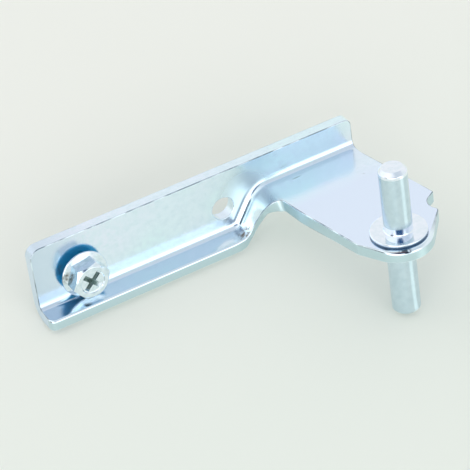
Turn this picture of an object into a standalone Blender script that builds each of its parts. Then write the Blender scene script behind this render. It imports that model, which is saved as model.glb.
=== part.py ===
"""Middle hinge of a fridge and freezer: a pressed plate, a double-ended pin and a screw.

The plate is one blank of zinc-plated sheet. Its leg stands against the cabinet, its flange
stiffens the leg's lower edge, a crank lifts the flange to the arm, and the arm carries the
pin that both doors turn on. Lengths are in metres.

The frame: +Z runs up along the pin, +X along the leg from the screw end to the arm, and the
cabinet is on the +Y side. Y = 0 is the leg's back, which lies on the cabinet. The origin is
midway between the two screw holes.
"""

import bpy
import bmesh
from math import atan2, cos, pi, radians, sin, tan
from mathutils import Matrix, Vector

# Sheet
SHEET = 0.0035
BEND_INNER = 0.0020
EDGE_ROLL = 0.0003

# Leg
LEG_LENGTH = 0.1020
LEG_HEIGHT = 0.0230
LEG_CORNER_SCREW_END = 0.0032
LEG_CORNER_ARM_END = 0.0020

# Screw holes in the leg
HOLE_SPACING = 0.0450
HOLE_DIAMETER = 0.0068
HOLE_FROM_END = 0.0140
HOLE_HEIGHT = 0.0112

# Flange and crank
FLANGE_DEPTH = 0.0104
FLANGE_CORNER = 0.0018
CRANK_LIFT = 0.0104
CRANK_FROM_ARM_END = 0.0396
CRANK_ANGLE = radians(56.4)
CRANK_FOOT_RADIUS = 0.0030
CRANK_CREST_RADIUS = 0.0080
CRANK_THINNING = 0.34

# Arm, measured across and along its lean from the pin's axis
ARM_LEAN = radians(10.2)
ARM_NEAR_SIDE = 0.0114
ARM_FAR_SIDE = 0.0193
ROOT_START = 0.0064
ROOT_START_RADIUS = 0.0040
ROOT_TURN_ACROSS = 0.0010
ROOT_TURN_OUT = 0.0032
ROOT_TURN_RADIUS = 0.0022
ROOT_END = 0.0112
ARM_HEEL_RADIUS = 0.0060
TIP_RADIUS = 0.0096
TIP_NEAR_CORNER_BACK = 0.0043
TIP_FAR_CORNER_OUT = 0.0147
TIP_CORNER_RADIUS = 0.0013
NOTCH_OUT = 0.0132
NOTCH_BACK = 0.0047
NOTCH_RADIUS = 0.0045
NOTCH_START_BACK = 0.0070
NOTCH_LIP_RADIUS = 0.0006

# Pin
PIN_DIAMETER = 0.0080
PIN_FROM_ARM_END = 0.0124
PIN_REACH = 0.0476
PIN_ABOVE = 0.0215
PIN_BELOW = 0.0222
PIN_CHAMFER = 0.0010
COLLAR_DIAMETER = 0.0160
COLLAR_THICKNESS = 0.0009
COLLAR_EDGE = 0.0002
PIN_ROOT_FILLET = 0.0004

# Screw: M6 with a hexagon of 10 mm across flats
SCREW_DIAMETER = 0.0059
SCREW_LENGTH = 0.0160
SCREW_TIP_CHAMFER = 0.0009
SCREW_STAND_OFF = 0.0016
WASHER_DIAMETER = 0.0133
WASHER_RIM = 0.0009
WASHER_SLOPE = radians(14)
HEX_FLATS = 0.0100
HEAD_HEIGHT = 0.0059
HEAD_CHAMFER = 0.0007
HEAD_FACE_DIAMETER = 0.0095
DISH_DIAMETER = 0.0074
DISH_FLOOR_DIAMETER = 0.0064
DISH_DEPTH = 0.0004
CROSS_SPAN = 0.0062
CROSS_FLOOR_SPAN = 0.0024
CROSS_WIDTH = 0.0014
CROSS_DEPTH = 0.0028
CROSS_TURN = radians(45)
HEX_TURN = radians(32)

# Clearance between pieces that touch
SEAT_GAP = 0.0003

# How far the flat leg and the swept fold run into each other, as shares of the room between
# the bend's inner radius and the crank foot's
LEG_LAP = 0.3
STUB_LAP = 0.7

# How closely a corner of the swept fold has to lie in one of its cross-sections
SECTION_MARGIN = 0.00001

# Facets on a full turn and on a quarter turn
ROUND_STEPS = 48
HOLE_STEPS = 40
QUARTER_STEPS = 8

# Levels and places that follow from the sizes above
FLANGE_TOP = SHEET - HOLE_HEIGHT
ARM_TOP = FLANGE_TOP + CRANK_LIFT
LEG_TOP = LEG_HEIGHT - HOLE_HEIGHT
LEG_LEFT = -HOLE_SPACING / 2 - HOLE_FROM_END
LEG_RIGHT = LEG_LEFT + LEG_LENGTH
PIN_X = LEG_RIGHT - PIN_FROM_ARM_END
PIN_Y = -PIN_REACH
FOOT_X = LEG_RIGHT - CRANK_FROM_ARM_END
CREST_X = FOOT_X + CRANK_LIFT / tan(CRANK_ANGLE)
ROOT_X = PIN_X - ARM_NEAR_SIDE / cos(ARM_LEAN) - (PIN_REACH - FLANGE_DEPTH) * tan(ARM_LEAN)
BEND_OUTER = BEND_INNER + SHEET

PART_NAME = "fridge_door_hinge"


def collection(name):
    """A collection of that name, linked to the scene."""
    group = bpy.data.collections.new(name)
    bpy.context.scene.collection.children.link(group)
    return group


def metal(name, color, roughness):
    """A plated metal with its colour and roughness."""
    material = bpy.data.materials.new(name)
    material.use_nodes = True
    shader = material.node_tree.nodes["Principled BSDF"]
    shader.inputs["Base Color"].default_value = (*color, 1.0)
    shader.inputs["Metallic"].default_value = 1.0
    shader.inputs["Roughness"].default_value = roughness
    return material


def fillet_points(corner, before, after, radius):
    """Points of the arc that rounds a corner between its two neighbours."""
    to_before = (before - corner).normalized()
    to_after = (after - corner).normalized()
    half = to_before.angle(to_after) / 2
    setback = min(radius / tan(half), 0.98 * (before - corner).length, 0.98 * (after - corner).length)
    radius = setback * tan(half)
    center = corner + (to_before + to_after).normalized() * (radius / sin(half))
    start = corner + to_before * setback - center
    end = corner + to_after * setback - center
    turn = atan2(start.x * end.y - start.y * end.x, start.dot(end))
    steps = max(2, round(abs(turn) / (pi / 2) * QUARTER_STEPS))
    return [center + Matrix.Rotation(turn * i / steps, 2) @ start for i in range(steps + 1)]


def rounded_path(corners, closed=True):
    """A run of points through (x, y, radius) corners, with each radius as an arc."""
    places = [Vector(corner[:2]) for corner in corners]
    points = []
    for i, (place, corner) in enumerate(zip(places, corners)):
        is_end = not closed and i in (0, len(corners) - 1)
        if is_end or corner[2] == 0:
            points.append(place)
        else:
            points += fillet_points(place, places[i - 1], places[(i + 1) % len(places)], corner[2])
    return points


def flat_curve(name, runs, group, closed=True):
    """A 2D curve in its own XY plane: each run of points is an outline, or a hole in one."""
    data = bpy.data.curves.new(name, "CURVE")
    data.dimensions = "2D"
    data.fill_mode = "BOTH"
    for points in runs:
        spline = data.splines.new("POLY")
        spline.points.add(len(points) - 1)
        for point, place in zip(spline.points, points):
            point.co = (place[0], place[1], 0, 1)
        spline.use_cyclic_u = closed
    curve = bpy.data.objects.new(name, data)
    group.objects.link(curve)
    return curve


def mesh_from(curve, name, group):
    """The curve's solid as a mesh object in the same place, in place of the curve."""
    bpy.context.view_layer.update()
    graph = bpy.context.evaluated_depsgraph_get()
    mesh = bpy.data.meshes.new_from_object(curve.evaluated_get(graph))
    solid = bpy.data.objects.new(name, mesh)
    solid.matrix_world = curve.matrix_world
    group.objects.link(solid)
    bpy.data.objects.remove(curve)
    weld = bmesh.new()
    weld.from_mesh(mesh)
    bmesh.ops.remove_doubles(weld, verts=weld.verts, dist=0.000001)
    bmesh.ops.recalc_face_normals(weld, faces=weld.faces)
    weld.to_mesh(mesh)
    weld.free()
    return solid


def prism(name, runs, depth, matrix, group):
    """Flat outlines with their holes made solid: depth thick, centred on their plane."""
    outline = flat_curve(name + "_outline", runs, group)
    outline.data.extrude = depth / 2
    outline.matrix_world = matrix
    return mesh_from(outline, name, group)


def turned(name, profile, group, place=Matrix.Identity(4), steps=ROUND_STEPS):
    """A solid of revolution from (radius, height) points, top to bottom, in the given place."""
    mesh = bpy.data.meshes.new(name)
    edges = [(i, i + 1) for i in range(len(profile) - 1)]
    mesh.from_pydata([(radius, 0, height) for radius, height in profile], edges, [])
    solid = bpy.data.objects.new(name, mesh)
    solid.matrix_world = place
    group.objects.link(solid)
    lathe = solid.modifiers.new("lathe", "SCREW")
    lathe.steps = steps
    lathe.render_steps = steps
    lathe.use_merge_vertices = True
    lathe.merge_threshold = 0.00001
    return solid


def combine(solid, other, operation):
    """Join, cut or intersect a solid with another, which becomes a guide."""
    other.hide_render = True
    other.display_type = "WIRE"
    step = solid.modifiers.new(operation.lower() + "_" + other.name, "BOOLEAN")
    step.operation = operation
    step.solver = "EXACT"
    step.object = other


def upright(y):
    """A plane facing the viewer at that y, with its own X along +X and its own Y along +Z."""
    return Matrix.Translation((0, y, 0)) @ Matrix.Rotation(pi / 2, 4, "X")


def crank_line(raised=0.0):
    """The sheet's top line from the flange over the crank to the arm, as X and Z points.

    The line is offset by `raised` along its normal, so that what follows the bend can be
    drawn parallel to it.
    """
    shift = raised * tan(CRANK_ANGLE / 2)
    corners = [
        (LEG_LEFT - SHEET, FLANGE_TOP + raised, 0),
        (FOOT_X - shift, FLANGE_TOP + raised, CRANK_FOOT_RADIUS - raised),
        (CREST_X - shift, ARM_TOP + raised, CRANK_CREST_RADIUS + raised),
        (PIN_X + ARM_FAR_SIDE + SHEET, ARM_TOP + raised, 0),
    ]
    return rounded_path(corners, closed=False)


def arm_place(across, ahead, radius=0.0):
    """A corner of the arm, from its distances across and along the arm from the pin's axis."""
    x = PIN_X + across * cos(ARM_LEAN) + ahead * sin(ARM_LEAN)
    y = PIN_Y + across * sin(ARM_LEAN) - ahead * cos(ARM_LEAN)
    return (x, y, radius)


def tangent_angle(across, ahead, side):
    """Direction in which a line from that place grazes the tip's round, seen across the arm."""
    distance = Vector((across, ahead)).length
    toward_pin = atan2(-ahead, -across)
    half = atan2(TIP_RADIUS, (distance ** 2 - TIP_RADIUS ** 2) ** 0.5)
    return toward_pin + side * half


def tip_apex():
    """Where the two flanks that graze the round tip would meet, across and ahead of the pin."""
    near = Vector((-ARM_NEAR_SIDE, -TIP_NEAR_CORNER_BACK))
    far = Vector((TIP_FAR_CORNER_OUT, 0))
    near_turn = tangent_angle(near.x, near.y, 1)
    far_turn = tangent_angle(far.x, far.y, -1)
    near_way = Vector((cos(near_turn), sin(near_turn)))
    far_way = Vector((cos(far_turn), sin(far_turn)))
    gap = far - near
    reach = gap.cross(far_way) / near_way.cross(far_way)
    return near + near_way * reach


def blank_outline():
    """The plan outline of everything that is folded forward of the leg."""
    heel_y = PIN_Y + (ARM_FAR_SIDE / cos(ARM_LEAN) - (LEG_RIGHT - PIN_X)) / tan(ARM_LEAN)
    root_end_x = ROOT_X + ROOT_END * sin(ARM_LEAN)
    root_end_y = -FLANGE_DEPTH - ROOT_END * cos(ARM_LEAN)
    apex = tip_apex()
    corners = [
        (LEG_LEFT, SHEET, 0),
        (LEG_LEFT, -FLANGE_DEPTH, FLANGE_CORNER),
        (ROOT_X - ROOT_START, -FLANGE_DEPTH, ROOT_START_RADIUS),
        (ROOT_X + ROOT_TURN_ACROSS, -FLANGE_DEPTH - ROOT_TURN_OUT, ROOT_TURN_RADIUS),
        (root_end_x, root_end_y, ROOT_END),
        arm_place(-ARM_NEAR_SIDE, -TIP_NEAR_CORNER_BACK, TIP_CORNER_RADIUS),
        arm_place(apex.x, apex.y, TIP_RADIUS),
        arm_place(TIP_FAR_CORNER_OUT, 0, TIP_CORNER_RADIUS),
        arm_place(NOTCH_OUT, -NOTCH_BACK, NOTCH_RADIUS),
        arm_place(ARM_FAR_SIDE, -NOTCH_START_BACK, NOTCH_LIP_RADIUS),
        (LEG_RIGHT, heel_y, ARM_HEEL_RADIUS),
        (LEG_RIGHT, SHEET, 0),
    ]
    return rounded_path(corners)


def thin_web(plate):
    """Moves the swept sheet's underside up where the press has thinned it: over the foot and ramp.

    The thinning follows the crank line's slope from the foot, and is gone halfway over the crest.
    """
    line = crank_line()
    ways = [(b - a).normalized() for a, b in zip(line, line[1:])]
    for corner in plate.data.vertices:
        for place, before, after in zip(line[1:], ways, ways[1:]):
            way = (before + after).normalized()
            offset = corner.co.xy - place
            slope = way.y / sin(CRANK_ANGLE)
            if place.x > (FOOT_X + CREST_X) / 2:
                slope = max(0, 2 * slope - 1)
            if abs(offset.dot(way)) < SECTION_MARGIN and way.cross(offset) < 0:
                corner.co.xy -= offset * slope * CRANK_THINNING
                break


def arc(center_x, center_y, radius, start, end, steps=QUARTER_STEPS):
    """Points of an arc, ends included."""
    turns = [start + (end - start) * i / steps for i in range(steps + 1)]
    return [(center_x + radius * cos(turn), center_y + radius * sin(turn)) for turn in turns]


def circle(center_x, center_y, radius, steps=ROUND_STEPS):
    """Points round a hole."""
    return arc(center_x, center_y, radius, 0, 2 * pi, steps)[:-1]


def fold_section(stub):
    """Section across the long bend: depth under the sheet's top, and distance from its back."""
    reach = PIN_REACH + TIP_RADIUS + SHEET
    inner = arc(-BEND_INNER, SHEET + BEND_INNER, BEND_INNER, 0, -pi / 2)
    outer = arc(-BEND_INNER, BEND_OUTER, BEND_OUTER, -pi / 2, 0)
    return [(-stub, 0), *outer, (SHEET, reach), (0, reach), *inner, (-stub, SHEET)]


def leg_outline():
    """The leg's front outline above the long bend: it follows the crank and has round corners."""
    overlap = CRANK_FOOT_RADIUS - BEND_INNER
    lower = crank_line(BEND_INNER + LEG_LAP * overlap)
    lower[0].x = LEG_LEFT
    lower[-1].x = LEG_RIGHT
    corners = [(point.x, point.y, 0) for point in lower]
    corners.append((LEG_RIGHT, LEG_TOP, LEG_CORNER_ARM_END))
    corners.append((LEG_LEFT, LEG_TOP, LEG_CORNER_SCREW_END))
    return rounded_path(corners)


def hinge_plate(parts, guides):
    """The pressed plate: fold, flange and arm swept over the crank, joined to the flat leg."""
    stub = BEND_INNER + STUB_LAP * (CRANK_FOOT_RADIUS - BEND_INNER)
    section = flat_curve("fold_section", [fold_section(stub)], guides)
    path = flat_curve("crank_line", [crank_line()], guides, closed=False)
    path.data.bevel_mode = "OBJECT"
    path.data.bevel_object = section
    path.data.use_fill_caps = True
    path.matrix_world = upright(0)
    plate = mesh_from(path, "hinge_plate", parts)
    thin_web(plate)
    bpy.data.objects.remove(section)

    holes = [circle(side * HOLE_SPACING / 2, 0, HOLE_DIAMETER / 2, HOLE_STEPS) for side in (-1, 1)]
    leg = prism("leg", [leg_outline(), *holes], SHEET, upright(-SHEET / 2), guides)
    combine(plate, leg, "UNION")

    pin_hole = circle(PIN_X, PIN_Y, PIN_DIAMETER / 2 + SEAT_GAP)
    blank = prism("blank", [blank_outline(), pin_hole], 4 * LEG_HEIGHT, Matrix.Identity(4), guides)
    combine(plate, blank, "INTERSECT")

    weld = plate.modifiers.new("weld", "WELD")
    weld.merge_threshold = 0.00005
    flat = plate.modifiers.new("merge_flat_faces", "DECIMATE")
    flat.decimate_type = "DISSOLVE"
    flat.angle_limit = radians(0.5)
    roll = plate.modifiers.new("sheared_edge_roll", "BEVEL")
    roll.limit_method = "ANGLE"
    roll.angle_limit = radians(50)
    roll.width = EDGE_ROLL
    roll.segments = 2
    roll.use_clamp_overlap = False
    return plate


def shade_round(solid):
    """Smooth shading with the edges over 30 degrees kept sharp."""
    solid.data.shade_smooth()
    solid.data.set_sharp_from_angle(angle=radians(30))


def hinge_pin(parts):
    """The turned pin: a chamfered end above and below, and the collar that seats on the arm."""
    radius = PIN_DIAMETER / 2
    collar = COLLAR_DIAMETER / 2
    collar_top = SEAT_GAP + COLLAR_THICKNESS
    bottom = -SHEET - PIN_BELOW
    root = arc(radius + PIN_ROOT_FILLET, collar_top + PIN_ROOT_FILLET, PIN_ROOT_FILLET, pi, 1.5 * pi, 3)
    rim = arc(collar - COLLAR_EDGE, collar_top - COLLAR_EDGE, COLLAR_EDGE, pi / 2, 0, 3)
    profile = [
        (0, PIN_ABOVE),
        (radius - PIN_CHAMFER, PIN_ABOVE),
        (radius, PIN_ABOVE - PIN_CHAMFER),
        *root,
        *rim,
        (collar, SEAT_GAP),
        (radius, SEAT_GAP),
        (radius, bottom + PIN_CHAMFER),
        (radius - PIN_CHAMFER, bottom),
        (0, bottom),
    ]
    pin = turned("hinge_pin", profile, parts, Matrix.Translation((PIN_X, PIN_Y, ARM_TOP)))
    shade_round(pin)
    return pin


def six_sided(name, group, place):
    """The head's hexagon as a bar, long enough to be trimmed at both ends."""
    bar = bpy.data.objects.new(name, bpy.data.meshes.new(name))
    bar.matrix_world = place
    group.objects.link(bar)
    corner = HEX_FLATS / 2 / cos(pi / 6)
    shape = bmesh.new()
    bmesh.ops.create_cone(
        shape, cap_ends=True, segments=6, radius1=corner, radius2=corner, depth=4 * HEAD_HEIGHT
    )
    bmesh.ops.rotate(shape, verts=shape.verts, matrix=Matrix.Rotation(HEX_TURN, 3, "Z"))
    shape.to_mesh(bar.data)
    shape.free()
    return bar


def cross_blade(name, turn, group, place):
    """One blade of the cross recess: it narrows from the head's face to the recess floor."""
    blade = bpy.data.objects.new(name, bpy.data.meshes.new(name))
    face = HEAD_HEIGHT - DISH_DEPTH
    blade.matrix_world = place @ Matrix.Translation((0, 0, face)) @ Matrix.Rotation(turn, 4, "Z")
    group.objects.link(blade)
    above = 2 * DISH_DEPTH
    slope = (CROSS_SPAN - CROSS_FLOOR_SPAN) / CROSS_DEPTH
    shape = bmesh.new()
    bmesh.ops.create_cube(shape, size=1)
    for corner in shape.verts:
        is_floor = corner.co.z < 0
        corner.co.z = -CROSS_DEPTH if is_floor else above
        corner.co.x *= CROSS_FLOOR_SPAN if is_floor else CROSS_SPAN + slope * above
        corner.co.y *= CROSS_WIDTH
    shape.to_mesh(blade.data)
    shape.free()
    return blade


def flange_screw(parts, guides):
    """The screw: its washer face is local Z = 0 and its head stands towards the viewer."""
    stand_off = upright(-SHEET - SCREW_STAND_OFF)
    place = stand_off @ Matrix.Translation((-HOLE_SPACING / 2, 0, 0))
    washer = WASHER_DIAMETER / 2
    shank = SCREW_DIAMETER / 2
    corner = HEX_FLATS / 2 / cos(pi / 6)
    rim = WASHER_RIM / 3
    slope_top = WASHER_RIM + (washer - HEX_FLATS / 2) * tan(WASHER_SLOPE)

    screw = six_sided("flange_screw", parts, place)
    head = [
        (0, HEAD_HEIGHT),
        (HEAD_FACE_DIAMETER / 2, HEAD_HEIGHT),
        (corner, HEAD_HEIGHT - HEAD_CHAMFER),
        (corner, rim),
        (0, rim),
    ]
    combine(screw, turned("head_round", head, guides, place), "INTERSECT")
    body = [
        (0, slope_top),
        (HEX_FLATS / 2, slope_top),
        (washer - rim, WASHER_RIM),
        (washer, WASHER_RIM - rim),
        (washer, rim),
        (washer - rim, 0),
        (shank, 0),
        (shank, SCREW_TIP_CHAMFER - SCREW_LENGTH),
        (shank - SCREW_TIP_CHAMFER, -SCREW_LENGTH),
        (0, -SCREW_LENGTH),
    ]
    combine(screw, turned("washer_and_shank", body, guides, place), "UNION")

    wall = (DISH_DIAMETER - DISH_FLOOR_DIAMETER) / 2
    dish = [
        (0, HEAD_HEIGHT + DISH_DEPTH),
        (DISH_DIAMETER / 2 + wall, HEAD_HEIGHT + DISH_DEPTH),
        (DISH_FLOOR_DIAMETER / 2, HEAD_HEIGHT - DISH_DEPTH),
        (0, HEAD_HEIGHT - DISH_DEPTH),
    ]
    combine(screw, turned("head_dish", dish, guides, place), "DIFFERENCE")
    for name, turn in (("cross_blade_a", CROSS_TURN), ("cross_blade_b", CROSS_TURN + pi / 2)):
        combine(screw, cross_blade(name, turn, guides, place), "DIFFERENCE")
    weld = screw.modifiers.new("weld", "WELD")
    weld.merge_threshold = 0.00001
    return screw


def main():
    for thing in list(bpy.data.objects):
        bpy.data.objects.remove(thing)
    parts = collection(PART_NAME)
    guides = collection("cutters")
    zinc = metal("zinc_plated_sheet", (0.72, 0.77, 0.80), 0.32)
    plate = hinge_plate(parts, guides)
    plate.data.materials.append(zinc)
    pin = hinge_pin(parts)
    pin.data.materials.append(metal("zinc_plated_pin", (0.62, 0.70, 0.72), 0.25))
    screw = flange_screw(parts, guides)
    screw.data.materials.append(metal("zinc_plated_screw", (0.80, 0.82, 0.82), 0.22))


main()
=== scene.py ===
"""Middle hinge of a fridge and freezer: bright zinc-plated plate, riveted pin and flange screw.

Lengths are metres in the part's own frame: Z up along the pin, X along the plate from the
screw end to the arm, and the cabinet on the +Y side. The hinge lies on a table, tipped
forward on its long fold and the lower end of its pin.
"""

from math import asin, atan2, cos, pi, radians, sin, sqrt, tan

import bmesh
import bpy
from mathutils import Matrix, Vector


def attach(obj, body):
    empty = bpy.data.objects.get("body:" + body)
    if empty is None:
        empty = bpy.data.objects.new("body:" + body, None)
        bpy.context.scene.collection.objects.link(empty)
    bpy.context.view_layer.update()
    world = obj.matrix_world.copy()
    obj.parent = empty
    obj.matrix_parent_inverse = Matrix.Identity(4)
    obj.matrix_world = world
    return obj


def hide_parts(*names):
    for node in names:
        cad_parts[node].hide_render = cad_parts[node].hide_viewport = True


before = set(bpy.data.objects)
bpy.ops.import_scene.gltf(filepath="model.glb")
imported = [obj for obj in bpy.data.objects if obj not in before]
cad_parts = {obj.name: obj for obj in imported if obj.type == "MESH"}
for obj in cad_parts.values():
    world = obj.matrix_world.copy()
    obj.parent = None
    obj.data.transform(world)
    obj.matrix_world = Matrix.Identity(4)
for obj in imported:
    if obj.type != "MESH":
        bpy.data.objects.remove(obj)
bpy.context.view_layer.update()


# Hinge plate
#
# One blank of 3.5 mm cold-rolled steel strip, pierced and sheared, then folded along its
# length and cranked upwards in a press, and bright zinc plated last of all.

SHEET = 0.0035
FOLD_RADIUS = 0.0020
LEG_LEFT, LEG_RIGHT, LEG_TOP = -0.0365, 0.0655, 0.0118
LEFT_CORNER, RIGHT_CORNER = 0.0032, 0.0020
FLANGE_TOP, ARM_TOP, FLANGE_FRONT = -0.0077, 0.0027, -0.0104
HOLE_PLACES = (-0.0225, 0.0225)
HOLE_RADIUS = 0.0034

# The crank lifts the flange to the arm's height; its ramp is thinned by this share
CRANK_ANGLE = radians(56.4)
CRANK_THINNING = 0.34
FOOT_X = LEG_RIGHT - 0.0396
CREST_X = FOOT_X + (ARM_TOP - FLANGE_TOP) / tan(CRANK_ANGLE)
FOOT_RADIUS, CREST_RADIUS = 0.0030, 0.0080

# The arm leans off square to the leg; its sides lie so far from the pin's axis
PIN_X, PIN_Y = 0.0531, -0.0476
ARM_LEAN = radians(10.2)
NEAR_SIDE, FAR_SIDE = 0.0114, 0.0193
TIP_RADIUS, TIP_CORNER = 0.0096, 0.0013
ROOT_X = PIN_X - NEAR_SIDE / cos(ARM_LEAN) - (FLANGE_FRONT - PIN_Y) * tan(ARM_LEAN)
ROOT_LENGTH = 0.0112


# Arcs of an outline are drawn in steps about this long
ARC_STEP = 0.00025


def arc_points(corner, before, after, radius):
    """Points of the arc that rounds a corner of an outline."""
    to_before = (before - corner).normalized()
    to_after = (after - corner).normalized()
    half = to_before.angle(to_after) / 2
    room = 0.98 * min((before - corner).length, (after - corner).length)
    setback = min(radius / tan(half), room)
    radius = setback * tan(half)
    center = corner + (to_before + to_after).normalized() * (radius / sin(half))
    start = corner + to_before * setback - center
    end = corner + to_after * setback - center
    turn = atan2(start.x * end.y - start.y * end.x, start.dot(end))
    steps = max(3, min(28, round(abs(turn) * radius / ARC_STEP)))
    return [center + Matrix.Rotation(turn * i / steps, 2) @ start for i in range(steps + 1)]


def rounded_outline(corners):
    """A closed outline through (x, y, radius) corners."""
    places = [Vector(corner[:2]) for corner in corners]
    points = []
    for i, place in enumerate(places):
        if corners[i][2]:
            after = places[(i + 1) % len(places)]
            points += arc_points(place, places[i - 1], after, corners[i][2])
        else:
            points.append(place)
    return points


def on_arm(across, ahead, radius):
    """A corner of the arm, across and along its lean from the pin, with its rounding."""
    x = PIN_X + across * cos(ARM_LEAN) + ahead * sin(ARM_LEAN)
    y = PIN_Y + across * sin(ARM_LEAN) - ahead * cos(ARM_LEAN)
    return (x, y, radius)


def tip_corner(near, far, radius):
    """Where two flanks from the arm's front corners meet when both graze the round tip."""
    ways = []
    for corner, side in ((near, 1), (far, -1)):
        toward_pin = atan2(-corner.y, -corner.x)
        graze = atan2(radius, sqrt(corner.length_squared - radius ** 2))
        ways.append(Vector((cos(toward_pin + side * graze), sin(toward_pin + side * graze))))
    gap = far - near
    return near + ways[0] * (gap.cross(ways[1]) / ways[0].cross(ways[1]))


def plate_outline():
    """Plan outline of all that stands forward of the leg, from the fold's own start."""
    near = Vector((-NEAR_SIDE, -0.0043))
    far = Vector((0.0147, 0.0))
    apex = tip_corner(near, far, TIP_RADIUS)
    root_x = ROOT_X + ROOT_LENGTH * sin(ARM_LEAN)
    root_y = FLANGE_FRONT - ROOT_LENGTH * cos(ARM_LEAN)
    heel_y = PIN_Y + (FAR_SIDE / cos(ARM_LEAN) - (LEG_RIGHT - PIN_X)) / tan(ARM_LEAN)

    # Each corner is (x, y, rounding), in order from the screw end round the arm
    flange = [(LEG_LEFT, FOLD_START, 0), (LEG_LEFT, FLANGE_FRONT, 0.0018)]
    root = [
        (ROOT_X - 0.0064, FLANGE_FRONT, 0.0040),
        (ROOT_X + 0.0010, FLANGE_FRONT - 0.0032, 0.0022),
        (root_x, root_y, ROOT_LENGTH),
    ]
    tip = [
        on_arm(near.x, near.y, TIP_CORNER),
        on_arm(apex.x, apex.y, TIP_RADIUS),
        on_arm(far.x, far.y, TIP_CORNER),
    ]
    notch = [on_arm(0.0132, -0.0047, 0.0039), on_arm(FAR_SIDE, -0.0070, 0.0006)]
    heel = [(LEG_RIGHT, heel_y, 0.0060), (LEG_RIGHT, FOLD_START, 0)]
    return rounded_outline([*flange, *root, *tip, *notch, *heel])


def crank_at(x):
    """Height and slope angle of the sheet's top over the crank."""
    half = tan(CRANK_ANGLE / 2)
    foot = FOOT_X - FOOT_RADIUS * half
    crest = CREST_X + CREST_RADIUS * half
    if x <= foot:
        return FLANGE_TOP, 0.0
    if x >= crest:
        return ARM_TOP, 0.0
    if x < foot + FOOT_RADIUS * sin(CRANK_ANGLE):
        angle = asin((x - foot) / FOOT_RADIUS)
        return FLANGE_TOP + FOOT_RADIUS * (1 - cos(angle)), angle
    if x > crest - CREST_RADIUS * sin(CRANK_ANGLE):
        angle = asin((crest - x) / CREST_RADIUS)
        return ARM_TOP - CREST_RADIUS * (1 - cos(angle)), angle
    return FLANGE_TOP + (x - FOOT_X) * tan(CRANK_ANGLE), CRANK_ANGLE


def raised_place(x, y, raised):
    """A place at that height over the sheet's top, square to it."""
    height, angle = crank_at(x)
    return Vector((x - raised * sin(angle), y, height + raised * cos(angle)))


# The fold takes up a strip of the blank this wide, ahead of a narrow flat strip of the leg
FOLD_WIDTH = 0.0040
LEG_STRIP = 0.0004
FOLD_END = -SHEET - FOLD_RADIUS
FOLD_START = FOLD_END + FOLD_WIDTH + LEG_STRIP


def web_thickness(x):
    """Sheet thickness along the crank: the press thins it over the foot and the ramp."""
    slope = sin(crank_at(x)[1]) / sin(CRANK_ANGLE)
    if x > (FOOT_X + CREST_X) / 2:
        slope = max(0.0, 2 * slope - 1)
    return SHEET * (1 - CRANK_THINNING * slope)


# The fold sprang back: the flange's upper face falls towards its front edge, up to just before
# the crank
FLANGE_FALL = tan(radians(4))
FALL_RUN_OUT = 0.0050


def folded(x, y, depth):
    """Where a point of the flat blank comes to lie: depth 0 is its top, 1 its underside."""
    thick = web_thickness(x)
    if y <= FOLD_END:
        on_flange = min(1, max(0, (FOOT_X - x) / FALL_RUN_OUT))
        fall = FLANGE_FALL * (FOLD_END - y) * on_flange
        return raised_place(x, y, -thick * depth - fall * (1 - depth))
    turn = max(0.0, 1 - (y - FOLD_END) / FOLD_WIDTH) * pi / 2
    above = max(0.0, y - FOLD_END - FOLD_WIDTH)
    radius = FOLD_RADIUS + depth * (thick + (SHEET - thick) * cos(turn))
    back = -SHEET - FOLD_RADIUS + (FOLD_RADIUS + depth * SHEET) * cos(turn)
    return raised_place(x, back, FOLD_RADIUS - radius * sin(turn) + above)


# Under the foot the press has drawn the lower edge of the sheet in, and under the crest it has
# pushed that edge out: places along X with the shift of the edge there, along X and Y
EDGE_SHIFTS = (
    (FOOT_X - 0.0030, 0, 0),
    (FOOT_X - 0.0015, 0, 0.0004),
    (FOOT_X, 0, 0.0013),
    ((FOOT_X + CREST_X) / 2, 0, 0.0004),
    (CREST_X, 0, -0.0008),
    (ROOT_X, -0.0006, -0.0011),
    (ROOT_X + 0.0015, -0.0004, -0.0006),
    (ROOT_X + 0.0060, 0, 0),
)


def edge_shift(x):
    """The lower edge's shift at a place along X."""
    for before, after in zip(EDGE_SHIFTS, EDGE_SHIFTS[1:]):
        if before[0] <= x < after[0]:
            share = (x - before[0]) / (after[0] - before[0])
            share = share * share * (3 - 2 * share)
            return Vector([a + (b - a) * share for a, b in zip(before[1:], after[1:])] + [0])
    return Vector((0, 0, 0))


# The flat sheet is cut into steps where it bends, and coarsely where it stays flat
ARC_STEPS, RAMP_STEPS, FOLD_STEPS, FLAT_STEP, LEG_STEP = 14, 8, 12, 0.0008, 0.0060


def crank_stations():
    """Places along X where the flat sheet is cut, so that it can bend over the crank."""
    half = tan(CRANK_ANGLE / 2)
    foot = FOOT_X - FOOT_RADIUS * half
    crest = CREST_X + CREST_RADIUS * half
    turns = [CRANK_ANGLE * i / ARC_STEPS for i in range(ARC_STEPS + 1)]
    foot_arc = [foot + FOOT_RADIUS * sin(turn) for turn in turns]
    crest_arc = [crest - CREST_RADIUS * sin(turn) for turn in reversed(turns)]
    ramp_length = crest_arc[0] - foot_arc[-1]
    ramp = [foot_arc[-1] + ramp_length * i / RAMP_STEPS for i in range(1, RAMP_STEPS)]
    before = [foot - FLAT_STEP * i for i in range(4, 0, -1)]
    after = [crest + FLAT_STEP * i for i in range(1, 6)]
    return [*before, *foot_arc, *ramp, *crest_arc, *after, *HOLE_PLACES]


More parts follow.
